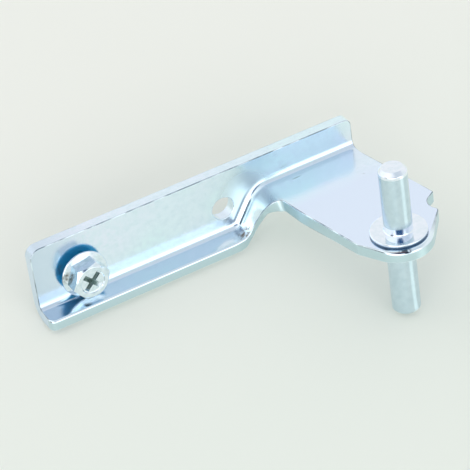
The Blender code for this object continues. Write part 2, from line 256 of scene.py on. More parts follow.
def forward_strip():
    """The fold, flange, crank and arm as one flat sheet, cut where it is to bend."""
    shape = bmesh.new()
    shape.faces.new([shape.verts.new((*place, 0)) for place in plate_outline()])
    cuts = [((x, 0, 0), (1, 0, 0)) for x in crank_stations()]
    across = [FOLD_END + FOLD_WIDTH * i / FOLD_STEPS for i in range(FOLD_STEPS + 1)]
    across += [FOLD_END - 0.0006, -0.0082]
    cuts += [((0, y, 0), (0, 1, 0)) for y in across]
    cuts += [((LEG_LEFT + 0.0025 + LEG_STEP * i, 0, 0), (1, 0, 0)) for i in range(10)]
    for place, normal in cuts:
        everything = [*shape.verts, *shape.edges, *shape.faces]
        bmesh.ops.bisect_plane(shape, geom=everything, plane_co=place, plane_no=normal, dist=1e-6)
    return shape


def leg_faces(seam):
    """Outlines of the flat leg over its seam with the fold, parted through the two holes."""
    corners = [
        (LEG_RIGHT, seam[-1].z, 0),
        (LEG_RIGHT, LEG_TOP, RIGHT_CORNER),
        (LEG_LEFT, LEG_TOP, LEFT_CORNER),
        (LEG_LEFT, seam[0].z, 0),
    ]
    top = [(place.x, place.y) for place in rounded_outline(corners)[1:-1]]
    low = [(place.x, place.z) for place in seam]
    parts = (LEG_LEFT - SHEET, *HOLE_PLACES, LEG_RIGHT + SHEET)
    turns = [pi * i / 36 for i in range(37)]
    half_hole = [(HOLE_RADIUS * sin(turn), HOLE_RADIUS * cos(turn)) for turn in turns]
    for start, end in zip(parts, parts[1:]):
        ring = [place for place in low if start < place[0] < end]
        if end in HOLE_PLACES:
            ring.append((end, low_at(low, end)))
            ring += [(end - across, -up) for across, up in half_hole]
            ring.append((end, LEG_TOP))
        ring += [place for place in top if start < place[0] < end]
        if start in HOLE_PLACES:
            ring.append((start, LEG_TOP))
            ring += [(start + across, up) for across, up in half_hole]
            ring.append((start, low_at(low, start)))
        yield ring


def low_at(low, x):
    """Height of the seam at a place along X."""
    for before, after in zip(low, low[1:]):
        if before[0] <= x <= after[0]:
            share = (x - before[0]) / max(after[0] - before[0], 1e-9)
            return before[1] + (after[1] - before[1]) * share


def new_piece(name, shape):
    """A piece of the scene from a finished mesh, smooth all over."""
    mesh = bpy.data.meshes.new(name)
    shape.to_mesh(mesh)
    shape.free()
    mesh.shade_smooth()
    piece = bpy.data.objects.new(name, mesh)
    bpy.context.scene.collection.objects.link(piece)
    return piece


# The blanking die rolls most edges over a little, the flange's front and the arm's tip more
THIN_ROLL, FLANGE_ROLL, TIP_ROLL = 0.00024, 0.0007, 0.0011
# Degrees round a rolled edge, from the sheet's face to the sheared wall. The plating barrel has
# worn its middle to a narrow flat band.
ROLL_TURNS = (0, 20, 40, 70, 90)
# The last step of the roll and the wall below it keep the sheet's own finish
SHEARED_STEPS = (3, 4)


def roll_at(place):
    """How wide the sheared edge is rolled over at a place on it."""
    # The flange's roll sets in behind its front edge and fades before the crank; the tip's sets
    # in beside the pin, further round on the left
    flange_end = FOOT_X + 0.0030
    if place.z > FLANGE_TOP - SHEET / 2 and place.x < flange_end:
        share = min(1, max(0, (FLANGE_FRONT + 0.0020 - place.y) / 0.0010))
        share = min(share, max(0, (flange_end - place.x) / 0.0060))
        return THIN_ROLL + (FLANGE_ROLL - THIN_ROLL) * share
    if place.z > ARM_TOP - SHEET / 2:
        tip_start = PIN_Y + 0.0010 if place.x > PIN_X else PIN_Y - 0.0030
        share = min(1, max(0, (tip_start - place.y) / 0.0040))
        return THIN_ROLL + (TIP_ROLL - THIN_ROLL) * share
    return THIN_ROLL


def way_in(vert):
    """The way into the sheet from a place on its rim, square to the rim."""
    ways = []
    for face in vert.link_faces:
        for loop in face.loops:
            if loop.edge.is_boundary and vert in loop.edge.verts:
                along = loop.link_loop_next.vert.co - loop.vert.co
                ways.append(face.normal.cross(along).normalized())
    way = (ways[0] + ways[1]).normalized()
    # A longer step at a sharp corner keeps the roll's width, but never more than twice as long
    return way / max(0.5, way.dot(ways[0]))


def rolled_row(sheet, top, under, into):
    """Places down the sheared edge from the upper face to the lower, rounded at both."""
    down = (under.co - top.co).normalized()
    wide = roll_at(top.co)
    upper, lower = top.co.copy(), under.co.copy()
    turns = [radians(degrees) for degrees in ROLL_TURNS]
    row = [upper + (into * (1 - sin(turn)) + down * (1 - cos(turn))) * wide for turn in turns]
    for turn in turns:
        row.append(lower + (into * (1 - cos(turn)) - down * (1 - sin(turn))) * THIN_ROLL)
    top.co, under.co = row[0], row[-1]
    return [top, *[sheet.verts.new(place) for place in row[1:-1]], under]


# Painted shade lies in the crease as a dark line of this half width, just before the fold's upper
# end, at the crank
PINCH_Y, PINCH_HALF_WIDTH = FOLD_END + FOLD_WIDTH - 0.0003, 0.0006


def pressed_plate():
    """The folded plate: bent strip and leg joined, doubled to sheet thickness and closed."""
    sheet = forward_strip()
    under = sheet.verts.layers.float_vector.new("underside")
    crease_shade = sheet.verts.layers.float.new("crease_shade")
    edge_rub_and_shade = sheet.verts.layers.float.new("edge_rub_and_shade")
    seam = []
    for vert in sheet.verts:
        x, y = vert.co.x, vert.co.y
        vert[under] = folded(x, y, 1)
        if vert.is_boundary and y < FOLD_END:
            vert[under] = vert[under] + edge_shift(x)
        slope = max(0, 2 * sin(crank_at(x)[1]) / sin(CRANK_ANGLE) - 1)
        vert[crease_shade] = slope * max(0, 1 - abs(y - PINCH_Y) / PINCH_HALF_WIDTH)
        vert.co = folded(x, y, 0)
        if y > FOLD_START - 1e-6:
            seam.append(vert.co.copy())
    for ring in leg_faces(sorted(seam, key=lambda place: place.x)):
        made = [sheet.verts.new((x, -SHEET, z)) for x, z in ring]
        for vert in made:
            vert[under] = (vert.co.x, 0, vert.co.z)
        sheet.faces.new(made)
    bmesh.ops.remove_doubles(sheet, verts=sheet.verts, dist=3e-6)
    bmesh.ops.recalc_face_normals(sheet, faces=sheet.faces)
    rims = [edge for edge in sheet.edges if edge.is_boundary]
    inward = {vert: way_in(vert) for edge in rims for vert in edge.verts}
    tops = list(sheet.verts)
    everything = [*sheet.verts, *sheet.edges, *sheet.faces]
    twins = bmesh.ops.duplicate(sheet, geom=everything)["vert_map"]
    for vert in tops:
        twins[vert].co = vert[under]
    rows = {}
    # The thin rolls are marked greyer, partly plating rubbed bare in the barrel and partly painted
    # shade along the edges; in the free hole only a little
    for vert, into in inward.items():
        in_hole = (vert.co.xz - Vector((HOLE_PLACES[1], 0))).length < 0.004
        rub_and_shade_share = 0.2 if in_hole else max(0, 1 - (roll_at(vert.co) - THIN_ROLL) / 0.0002)
        rows[vert] = rolled_row(sheet, vert, twins[vert], into)
        for place in rows[vert]:
            place[edge_rub_and_shade] = rub_and_shade_share
    for edge in rims:
        first, second = [rows[vert] for vert in edge.verts]
        for i in range(len(first) - 1):
            face = sheet.faces.new((first[i], second[i], second[i + 1], first[i + 1]))
            face.material_index = 0 if i in SHEARED_STEPS else 1
    bmesh.ops.recalc_face_normals(sheet, faces=sheet.faces)
    return new_piece("pressed_plate", sheet)


plate = pressed_plate()
flats = plate.modifiers.new("flat_faces_stay_flat", "WEIGHTED_NORMAL")
flats.weight = 100


def srgb(hexed):
    """A colour written as sRGB hex, turned to the linear values a shader takes."""
    parts = [int(hexed[i:i + 2], 16) / 255 for i in (1, 3, 5)]
    linear = [c / 12.92 if c <= 0.04045 else ((c + 0.055) / 1.055) ** 2.4 for c in parts]
    return (*linear, 1.0)


def patches(size):
    """Noise scale at which one light or dark patch is about so many millimetres wide."""
    return 500 / size


def add(tree, kind, inputs=None, out=0, **settings):
    """Adds a node with its settings and links, and returns one of its outputs.

    An input is a plain value or another node's output.
    """
    made = tree.nodes.new(kind)
    for name, value in settings.items():
        setattr(made, name, value)
    for name, value in (inputs or {}).items():
        if isinstance(value, bpy.types.NodeSocket):
            tree.links.new(value, made.inputs[name])
        else:
            made.inputs[name].default_value = value
    return made.outputs[out]


# Bright zinc plating with clear blue passivation. Zinc is a grey-white mirror under a film so
# thin that it tints what it reflects: lavender where it is thicker, blue-green where thinner.
# The rolled strip under it is grained, so reflections are soft and a little mottled.
zinc_sheet = bpy.data.materials.new("bright_zinc_plated_steel_strip")
zinc_sheet.use_nodes = True
tree = zinc_sheet.node_tree
metal = tree.nodes["Principled BSDF"]
place = add(tree, "ShaderNodeTexCoord", out="Object")
x, y, z = [add(tree, "ShaderNodeSeparateXYZ", {0: place}, axis) for axis in "XYZ"]
facing = add(tree, "ShaderNodeNewGeometry", out="Normal")
facing_z = add(tree, "ShaderNodeSeparateXYZ", {0: facing}, "Z")

# The film's thickness drifts over some 14 mm, and the strip's grain shows as 0.7 mm mottling
cloud = add(tree, "ShaderNodeTexNoise", {"Vector": place, "Scale": patches(14)})
drift = add(tree, "ShaderNodeMapRange", {"Value": cloud, "From Min": 0.40, "From Max": 0.62})
mottle = add(tree, "ShaderNodeTexNoise", {
    "Vector": place, "Scale": patches(0.7), "Detail": 4.0, "Roughness": 0.65,
})
speckle = add(tree, "ShaderNodeMapRange", {"Value": mottle, "From Min": 0.42, "From Max": 0.72})
film = add(tree, "ShaderNodeMix", {
    "Factor": drift, 6: srgb("#e9f2ff"), 7: srgb("#e2f7fd"),
}, out=2, data_type="RGBA")
film = add(tree, "ShaderNodeMix", {
    "Factor": speckle, 6: film, 7: srgb("#dceef8"),
}, out=2, data_type="RGBA")

# Out on the arm the film is a little thicker; towards the screw end it is painted greyer, a
# painted darker reflection
arm = add(tree, "ShaderNodeMapRange", {"Value": y, "From Min": -0.0130, "From Max": -0.0200})
film = add(tree, "ShaderNodeMix", {
    "Factor": arm, 6: film, 7: srgb("#e2eeff"),
}, out=2, data_type="RGBA")
end = add(tree, "ShaderNodeMapRange", {"Value": x, "From Min": -0.0180, "From Max": LEG_LEFT})
film = add(tree, "ShaderNodeMix", {
    "Factor": end, 6: film, 7: srgb("#cfdfee"),
}, out=2, data_type="RGBA")

# Beside the crank the leg is made rougher and painted greyer: the grey is a painted darker
# reflection of the crank's ramp
RUB_AND_SHADE_PLACE = (0.0295, -SHEET, 0.0015)
rub_and_shade_far = add(tree, "ShaderNodeVectorMath", {
    0: place, 1: RUB_AND_SHADE_PLACE,
}, "Value", operation="DISTANCE")
rub_and_shade = add(tree, "ShaderNodeMapRange", {"Value": rub_and_shade_far, "From Min": 0.0095, "From Max": 0.0045})
facing_y = add(tree, "ShaderNodeSeparateXYZ", {0: facing}, "Y")
on_leg = add(tree, "ShaderNodeMapRange", {"Value": facing_y, "From Min": -0.90, "From Max": -0.98})
rub_and_shade = add(tree, "ShaderNodeMath", {0: rub_and_shade, 1: on_leg}, operation="MULTIPLY")
film = add(tree, "ShaderNodeMix", {
    "Factor": rub_and_shade, 6: film, 7: srgb("#d3e3e8"),
}, out=2, data_type="RGBA")

# Near the fold, faces that look up are painted bluer: a painted reflection of the fold's tinted
# faces mirroring each other
fold_near = add(tree, "ShaderNodeMapRange", {"Value": y, "From Min": -0.0150, "From Max": -0.0060})
fold_low = add(tree, "ShaderNodeMapRange", {"Value": facing_z, "From Min": 0.60, "From Max": 0.95})
below = add(tree, "ShaderNodeMapRange", {"Value": z, "From Min": 0.0070, "From Max": 0.0050})
fold_blue_reflection = add(tree, "ShaderNodeMath", {0: fold_near, 1: fold_low}, operation="MULTIPLY")
fold_blue_reflection = add(tree, "ShaderNodeMath", {0: fold_blue_reflection, 1: below}, operation="MULTIPLY")
film = add(tree, "ShaderNodeMix", {
    "Factor": fold_blue_reflection, 6: film, 7: srgb("#e0edf9"),
}, out=2, data_type="RGBA")

# Where the crank pinches the fold, a dark line is painted along the crease: painted shade
crease_shade_line = add(tree, "ShaderNodeAttribute", out="Fac", attribute_name="crease_shade")
film = add(tree, "ShaderNodeMix", {
    "Factor": crease_shade_line, 6: film, 7: srgb("#4a5f76"),
}, out=2, data_type="RGBA")

# The press has scuffed the foot of the crank at its front edge
SCUFFED_PLACE = (FOOT_X + 0.0005, -0.0092, FLANGE_TOP)
foot_far = add(tree, "ShaderNodeVectorMath", {
    0: place, 1: SCUFFED_PLACE,
}, "Value", operation="DISTANCE")
scuff = add(tree, "ShaderNodeMapRange", {
    "Value": foot_far, "From Min": 0.0034, "From Max": 0.0016,
})
scratch = add(tree, "ShaderNodeTexNoise", {"Vector": place, "Scale": patches(0.5), "Detail": 3.0})
scratch = add(tree, "ShaderNodeMapRange", {"Value": scratch, "From Min": 0.50, "From Max": 0.58})
marks = add(tree, "ShaderNodeMath", {0: scuff, 1: scratch}, operation="MULTIPLY")
film = add(tree, "ShaderNodeMix", {
    "Factor": marks, 6: film, 7: srgb("#8a8078"),
}, out=2, data_type="RGBA")

# Wear on the arm's face: a bruise at its front corner, a scratch and a dot, each with its
# middle, its stretch along X and how far it reaches
WEAR = (
    ((0.0419, -0.0476, ARM_TOP), 1.5, 0.0006),
    ((0.0446, -0.0071, ARM_TOP), 9.0, 0.0002),
    ((0.0604, -0.0176, ARM_TOP), 1.0, 0.0002),
)
for middle, stretch, reach in WEAR:
    near = add(tree, "ShaderNodeVectorMath", {0: place, 1: middle}, operation="SUBTRACT")
    near = add(tree, "ShaderNodeVectorMath", {
        0: near, 1: (1 / stretch, 1, 1),
    }, operation="MULTIPLY")
    near = add(tree, "ShaderNodeVectorMath", {0: near}, "Value", operation="LENGTH")
    worn = add(tree, "ShaderNodeMapRange", {
        "Value": near, "From Min": reach, "From Max": reach / 2, "To Max": 0.7,
    })
    film = add(tree, "ShaderNodeMix", {
        "Factor": worn, 6: film, 7: srgb("#6d7f8c"),
    }, out=2, data_type="RGBA")

# Sheared edges: the die leaves them rougher and greyer, and the bath plates them thinner
forward = add(tree, "ShaderNodeMapRange", {"Value": y, "From Min": -0.0078, "From Max": -0.0084})
tilt = add(tree, "ShaderNodeMath", {0: facing_z}, operation="ABSOLUTE")
upright = add(tree, "ShaderNodeMapRange", {"Value": tilt, "From Min": 0.42, "From Max": 0.30})
cut = add(tree, "ShaderNodeMath", {0: forward, 1: upright}, operation="MULTIPLY")
film = add(tree, "ShaderNodeMix", {
    "Factor": cut, 6: film, 7: srgb("#c1d7dd"),
}, out=2, data_type="RGBA")

tree.links.new(film, metal.inputs["Base Color"])
metal.inputs["Metallic"].default_value = 1.0
soft = add(tree, "ShaderNodeMath", {0: mottle, 1: 0.10, 2: 0.14}, operation="MULTIPLY_ADD")
soft = add(tree, "ShaderNodeMath", {0: cut, 1: 0.16, 2: soft}, operation="MULTIPLY_ADD")
soft = add(tree, "ShaderNodeMath", {0: scuff, 1: 0.20, 2: soft}, operation="MULTIPLY_ADD")
soft = add(tree, "ShaderNodeMath", {0: rub_and_shade, 1: 0.20, 2: soft}, operation="MULTIPLY_ADD")
tree.links.new(soft, metal.inputs["Roughness"])
relief = add(tree, "ShaderNodeBump", {"Height": mottle, "Strength": 0.06, "Distance": 0.00004})
swell = add(tree, "ShaderNodeTexNoise", {"Vector": place, "Scale": patches(6), "Detail": 1.0})
wave = add(tree, "ShaderNodeBump", {
    "Height": swell, "Strength": 0.12, "Distance": 0.0002, "Normal": relief,
})
tree.links.new(wave, metal.inputs["Normal"])

# The same plating on the rolled edges, greyer in a broken line: partly rubbed thin in the barrel,
# partly painted shade on the edges
zinc_edge = bpy.data.materials.new("zinc_on_edges_rubbed_and_shaded")
zinc_edge.use_nodes = True
tree = zinc_edge.node_tree
metal = tree.nodes["Principled BSDF"]
place = add(tree, "ShaderNodeTexCoord", out="Object")
rub_and_shade = add(tree, "ShaderNodeTexNoise", {"Vector": place, "Scale": patches(2.5), "Detail": 3.0})
rub_and_shade = add(tree, "ShaderNodeMapRange", {"Value": rub_and_shade, "From Min": 0.62, "From Max": 0.42})
marked_edge = add(tree, "ShaderNodeAttribute", out="Fac", attribute_name="edge_rub_and_shade")
edge_rub_and_shade = add(tree, "ShaderNodeMath", {0: rub_and_shade, 1: marked_edge}, operation="MULTIPLY")
shade = add(tree, "ShaderNodeMix", {
    "Factor": edge_rub_and_shade, 6: srgb("#e6f3fb"), 7: srgb("#7f8f9c"),
}, out=2, data_type="RGBA")

# A knock on the arm's tip has bared dark steel
KNOCK_PLACE = (0.0497, -0.0564, ARM_TOP - 0.0004)
knock_far = add(tree, "ShaderNodeVectorMath", {
    0: place, 1: KNOCK_PLACE,
}, "Value", operation="DISTANCE")
knock = add(tree, "ShaderNodeMapRange", {
    "Value": knock_far, "From Min": 0.0024, "From Max": 0.0008,
})
chips = add(tree, "ShaderNodeTexNoise", {"Vector": place, "Scale": patches(0.6), "Detail": 2.0})
chips = add(tree, "ShaderNodeMapRange", {"Value": chips, "From Min": 0.42, "From Max": 0.52})
knock = add(tree, "ShaderNodeMath", {0: knock, 1: chips}, operation="MULTIPLY")
shade = add(tree, "ShaderNodeMix", {
    "Factor": knock, 6: shade, 7: srgb("#59656f"),
}, out=2, data_type="RGBA")

# A scrape runs up to the knock along the rim, at one distance from the pin's axis
SCRAPE_RADIUS = 0.0092
flat = add(tree, "ShaderNodeVectorMath", {0: place, 1: (1, 1, 0)}, operation="MULTIPLY")
pin_far = add(tree, "ShaderNodeVectorMath", {
    0: flat, 1: (PIN_X, PIN_Y, 0),
}, "Value", operation="DISTANCE")
off_line = add(tree, "ShaderNodeMath", {0: pin_far, 1: SCRAPE_RADIUS}, operation="SUBTRACT")
off_line = add(tree, "ShaderNodeMath", {0: off_line}, operation="ABSOLUTE")
scrape = add(tree, "ShaderNodeMapRange", {
    "Value": off_line, "From Min": 0.00022, "From Max": 0.00008,
})
x = add(tree, "ShaderNodeSeparateXYZ", {0: place}, "X")
from_left = add(tree, "ShaderNodeMapRange", {"Value": x, "From Min": 0.0450, "From Max": 0.0480})
to_knock = add(tree, "ShaderNodeMapRange", {"Value": x, "From Min": 0.0500, "From Max": 0.0496})
scrape = add(tree, "ShaderNodeMath", {0: scrape, 1: from_left}, operation="MULTIPLY")
scrape = add(tree, "ShaderNodeMath", {0: scrape, 1: to_knock}, operation="MULTIPLY")
shade = add(tree, "ShaderNodeMix", {
    "Factor": scrape, 6: shade, 7: srgb("#6a5f68"),
}, out=2, data_type="RGBA")
tree.links.new(shade, metal.inputs["Base Color"])
metal.inputs["Metallic"].default_value = 1.0
metal.inputs["Roughness"].default_value = 0.09

plate.data.materials.append(zinc_sheet)
plate.data.materials.append(zinc_edge)
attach(plate, "root")
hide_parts("hinge_plate")


# Hinge pin
#
# Turned from 8 mm bright steel bar in one piece with its thin collar, zinc plated, pushed
# through the arm from above until the collar seats, and riveted there.

PIN_RADIUS = 0.0040
PIN_TOP, PIN_BOTTOM = ARM_TOP + 0.0215, ARM_TOP - SHEET - 0.0222
COLLAR_RADIUS, COLLAR_TOP = 0.0080, ARM_TOP + 0.0012
# Heights between which the pin's root over the collar and its top end are burnished
ROOT_END, TIP_START = COLLAR_TOP + 0.0022, PIN_TOP - 0.0018


def round_corner(center, radius, start, end, steps):
    """Arc points in a turned profile, as (radius, height)."""
    turns = [start + (end - start) * i / steps for i in range(steps + 1)]
    return [(center[0] + radius * cos(turn), center[1] + radius * sin(turn)) for turn in turns]


def turned(name, profile, place):
    """A solid of revolution about an upright axis, from (radius, height) points."""
    shape = bmesh.new()
    points = [shape.verts.new((radius, 0, height)) for radius, height in profile]
    edges = [shape.edges.new(pair) for pair in zip(points, points[1:])]
    bmesh.ops.spin(
        shape, geom=[*points, *edges], cent=(0, 0, 0), axis=(0, 0, 1), angle=2 * pi, steps=96
    )
    bmesh.ops.remove_doubles(shape, verts=shape.verts, dist=1e-7)
    bmesh.ops.recalc_face_normals(shape, faces=shape.faces)
    piece = new_piece(name, shape)
    piece.matrix_world = place
    return piece


# From the top down: the top chamfer, the root fillet, the collar and the lower chamfer
pin_profile = [
    (0, PIN_TOP),
    *round_corner((PIN_RADIUS - 0.0011, PIN_TOP - 0.0002), 0.0002, pi / 2, pi / 4, 3),
    *round_corner((PIN_RADIUS - 0.0004, PIN_TOP - 0.0013), 0.0004, pi / 4, 0, 4),
    (PIN_RADIUS, PIN_TOP - 0.0020),
    (PIN_RADIUS, ROOT_END),
    (PIN_RADIUS, COLLAR_TOP + 0.0006),
    *round_corner((PIN_RADIUS + 0.0004, COLLAR_TOP + 0.0004), 0.0004, pi, 1.5 * pi, 6),
    (COLLAR_RADIUS - 0.0005, COLLAR_TOP),
    *round_corner((COLLAR_RADIUS - 0.0003, COLLAR_TOP - 0.0003), 0.0003, pi / 2, 0, 6),
    (COLLAR_RADIUS, ARM_TOP - 0.0001),
    (PIN_RADIUS, ARM_TOP - 0.0001),
    (PIN_RADIUS, ARM_TOP - 0.0006),
    (PIN_RADIUS, PIN_BOTTOM + 0.0020),
    *round_corner((PIN_RADIUS - 0.0004, PIN_BOTTOM + 0.0012), 0.0004, 0, -pi / 4, 4),
    *round_corner((PIN_RADIUS - 0.0011, PIN_BOTTOM + 0.0003), 0.0003, -pi / 4, -pi / 2, 4),
    (0, PIN_BOTTOM),
]
pin = turned("riveted_pin", pin_profile, Matrix.Translation((PIN_X, PIN_Y, 0)))

# Bright zinc plating on turned bar: the lathe's fine rings, drawn coarser than the real 0.1 mm
# feed so that they show, stretch each reflection a little along the pin.
zinc_pin = bpy.data.materials.new("bright_zinc_plated_turned_bar")
zinc_pin.use_nodes = True
tree = zinc_pin.node_tree
metal = tree.nodes["Principled BSDF"]
place = add(tree, "ShaderNodeTexCoord", out="Object")
facing = add(tree, "ShaderNodeNewGeometry", out="Normal")
facing_z = add(tree, "ShaderNodeSeparateXYZ", {0: facing}, "Z")
flat = add(tree, "ShaderNodeMapRange", {"Value": facing_z, "From Min": 0.5, "From Max": 0.9})
mottle = add(tree, "ShaderNodeTexNoise", {"Vector": place, "Scale": patches(0.8), "Detail": 3.0})
speckle = add(tree, "ShaderNodeMapRange", {"Value": mottle, "From Min": 0.35, "From Max": 0.75})
film = add(tree, "ShaderNodeMix", {
    "Factor": speckle, 6: srgb("#cbdde6"), 7: srgb("#bfd3dd"),
}, out=2, data_type="RGBA")
film = add(tree, "ShaderNodeMix", {
    "Factor": flat, 6: film, 7: srgb("#e9f1ff"),
}, out=2, data_type="RGBA")
tree.links.new(film, metal.inputs["Base Color"])
metal.inputs["Metallic"].default_value = 1.0
soft = add(tree, "ShaderNodeMath", {0: mottle, 1: 0.06, 2: 0.19}, operation="MULTIPLY_ADD")
tree.links.new(soft, metal.inputs["Roughness"])
metal.inputs["Anisotropic"].default_value = 0.70
metal.inputs["Anisotropic Rotation"].default_value = 0.25
tree.links.new(
    add(tree, "ShaderNodeTangent", direction_type="RADIAL", axis="Z"), metal.inputs["Tangent"]
)
rings = add(tree, "ShaderNodeMapping", {"Vector": place, "Scale": (60, 60, 4000)})
feed = add(tree, "ShaderNodeTexNoise", {"Vector": rings, "Scale": 1.0, "Detail": 2.0})
relief = add(tree, "ShaderNodeBump", {"Height": feed, "Strength": 0.1, "Distance": 0.00003})
tree.links.new(relief, metal.inputs["Normal"])

# The collar, the pin's root over it and its top end are burnished by the lathe's forming tool:
# smooth and mirror bright
zinc_collar = bpy.data.materials.new("bright_zinc_plated_collar")
zinc_collar.use_nodes = True
tree = zinc_collar.node_tree
metal = tree.nodes["Principled BSDF"]
place = add(tree, "ShaderNodeTexCoord", out="Object")
mottle = add(tree, "ShaderNodeTexNoise", {"Vector": place, "Scale": patches(0.8), "Detail": 3.0})
speckle = add(tree, "ShaderNodeMapRange", {"Value": mottle, "From Min": 0.35, "From Max": 0.75})
film = add(tree, "ShaderNodeMix", {
    "Factor": speckle, 6: srgb("#f0f6ff"), 7: srgb("#e4f0f9"),
}, out=2, data_type="RGBA")

# The crevice between the collar and the arm is painted dark: painted shade
height = add(tree, "ShaderNodeSeparateXYZ", {0: place}, "Z")
crevice_shade = add(tree, "ShaderNodeMapRange", {
    "Value": height, "From Min": ARM_TOP + 0.0008, "From Max": ARM_TOP + 0.0004,
})
film = add(tree, "ShaderNodeMix", {
    "Factor": crevice_shade, 6: film, 7: srgb("#46667c"),
}, out=2, data_type="RGBA")
tree.links.new(film, metal.inputs["Base Color"])
metal.inputs["Metallic"].default_value = 1.0
metal.inputs["Roughness"].default_value = 0.10

pin.data.materials.append(zinc_pin)
pin.data.materials.append(zinc_collar)
for face in pin.data.polygons:
    middle = face.center.z
    if ARM_TOP - 0.0005 < middle < ROOT_END or middle > TIP_START:
        face.material_index = 1
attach(pin, "root")
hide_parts("hinge_pin")


# Flange screw
#
# M6 screw, 10 mm across the flats, cold headed in one piece with its washer face and cross
# recess, then thread rolled and zinc plated. It stands loosely in its hole, not yet driven.

# It stands off the plate and has dropped a little in its hole
SCREW_STANDS_OFF, SCREW_DROP = 0.0016, 0.0003
SCREW_SEAT = Vector((HOLE_PLACES[0], -SHEET - SCREW_STANDS_OFF, -SCREW_DROP))
SCREW_PLACE = Matrix.Translation(SCREW_SEAT) @ Matrix.Rotation(pi / 2, 4, "X")
SCREW_TURN = radians(39)
CROSS_TURN = radians(45)
HEX_FLATS, HEAD_HEIGHT, HEAD_FACE = 0.0100, 0.0057, 0.0096
WASHER_RADIUS = 0.0069
SCREW_LENGTH = 0.0160
# The cross recess: its depth, and each blade's length and width at the face and at the floor
CROSS_DEPTH = 0.0032
CROSS_FACE, CROSS_FLOOR = (0.0072, 0.0015), (0.0024, 0.0011)


def boolean(piece, tool, operation):
    """Adds or cuts a tool solid, which then isn't needed any more."""
    step = piece.modifiers.new(operation.lower(), "BOOLEAN")
    step.operation = operation
    step.solver = "EXACT"
    step.object = tool
    bpy.context.view_layer.update()
    graph = bpy.context.evaluated_depsgraph_get()
    mesh = bpy.data.meshes.new_from_object(piece.evaluated_get(graph))
    piece.modifiers.clear()
    piece.data = mesh
    bpy.data.objects.remove(tool)


def bar(name, sides, radius, low, high, turn):
    """A straight bar of that many sides between two heights."""
    shape = bmesh.new()
    bmesh.ops.create_cone(
        shape, cap_ends=True, segments=sides, radius1=radius, radius2=radius, depth=high - low
    )
    bmesh.ops.rotate(shape, verts=shape.verts, matrix=Matrix.Rotation(turn, 3, "Z"))
    bmesh.ops.translate(shape, verts=shape.verts, vec=(0, 0, (low + high) / 2))
    piece = new_piece(name, shape)
    piece.matrix_world = SCREW_PLACE
    return piece


def cross_blade(turn):
    """One blade of the recess: it narrows from the face to the floor, as the punch did."""
    shape = bmesh.new()
    bmesh.ops.create_cube(shape, size=1)
    for vert in shape.verts:
        is_floor = vert.co.z < 0
        length, width = CROSS_FLOOR if is_floor else CROSS_FACE
        height = HEAD_HEIGHT + (-CROSS_DEPTH if is_floor else 0.0004)
        vert.co = (vert.co.x * length, vert.co.y * width, height)
    bmesh.ops.rotate(shape, verts=shape.verts, matrix=Matrix.Rotation(turn, 3, "Z"))
    piece = new_piece("cross_blade", shape)
    piece.matrix_world = SCREW_PLACE
    return piece


def thread(name, low, high):
    """The rolled M6 thread, 1 mm pitch, as a helical skin that runs out at both ends."""
    pitch, crest, root, turns, rows_per_pitch = 0.0010, 0.00295, 0.00245, 40, 12
    rows = round((high - low) / pitch * rows_per_pitch)
    shape = bmesh.new()
    grid = []
    for row in range(rows + 1):
        height = low + (high - low) * row / rows
        ring = []
        for i in range(turns):
            phase = (height / pitch - i / turns) % 1
            rise = min(1, max(0, 1.25 - abs(phase - 0.5) * 3.2))
            run_out = min(1, (height - low) / 0.0012 + 0.1, (high - height) / 0.0010)
            tip_chamfer = max(0, 1 - (height - low) / 0.0009) * 0.0004
            radius = root + (crest - root) * rise * max(0, run_out) - tip_chamfer
            turn = 2 * pi * i / turns
            ring.append(shape.verts.new((radius * cos(turn), radius * sin(turn), height)))
        grid.append(ring)
    for below, above in zip(grid, grid[1:]):
        for i in range(turns):
            k = (i + 1) % turns
            shape.faces.new((below[i], below[k], above[k], above[i]))
    shape.faces.new(grid[0][::-1])
    shape.faces.new(grid[-1])
    piece = new_piece(name, shape)
    piece.matrix_world = SCREW_PLACE
    return piece


corner = HEX_FLATS / 2 / cos(pi / 6)
screw = bar("flange_bolt", 6, corner, -HEAD_HEIGHT, 3 * HEAD_HEIGHT, SCREW_TURN)
# The head is turned off the hexagon bar, then comes the washer face, the dish in the head's top
# and the cross recess
edge = 0.0003
head = [
    (0, HEAD_HEIGHT),
    (HEAD_FACE / 2 - edge, HEAD_HEIGHT),
    *round_corner((HEAD_FACE / 2 - edge, HEAD_HEIGHT - edge), edge, pi / 2, pi / 4, 3),
    (corner + 0.0001, HEAD_HEIGHT - 0.0009),
    (corner + 0.0001, edge),
    (0, edge),
]
boolean(screw, turned("head_round", head, SCREW_PLACE), "INTERSECT")
washer = [
    (0, 0.0014),
    (HEX_FLATS / 2 - edge, 0.0014),
    (WASHER_RADIUS - edge, 3 * edge),
    *round_corner((WASHER_RADIUS - edge, 2 * edge), edge, pi / 2, -pi / 2, 8),
    (0.0036, 0.0),
    (0, 0.0),
]
boolean(screw, turned("washer_face", washer, SCREW_PLACE), "UNION")
dish = [
    (0, HEAD_HEIGHT + 0.0004),
    (0.0040, HEAD_HEIGHT + 0.0004),
    (0.0037, HEAD_HEIGHT + 0.0001),
    (0.0034, HEAD_HEIGHT - 0.0003),
    (0.0031, HEAD_HEIGHT - 0.0004),
    (0, HEAD_HEIGHT - 0.0004),
]
boolean(screw, turned("head_dish", dish, SCREW_PLACE), "DIFFERENCE")
for turn in (CROSS_TURN, CROSS_TURN + pi / 2):
    boolean(screw, cross_blade(turn), "DIFFERENCE")
screw.data.shade_smooth()
soften = screw.modifiers.new("plated_edges", "BEVEL")
soften.limit_method = "ANGLE"
soften.angle_limit = radians(28)
soften.width = 0.00012
soften.segments = 2
soften.harden_normals = True
shank = thread("screw_thread", -SCREW_LENGTH, 0.0002)

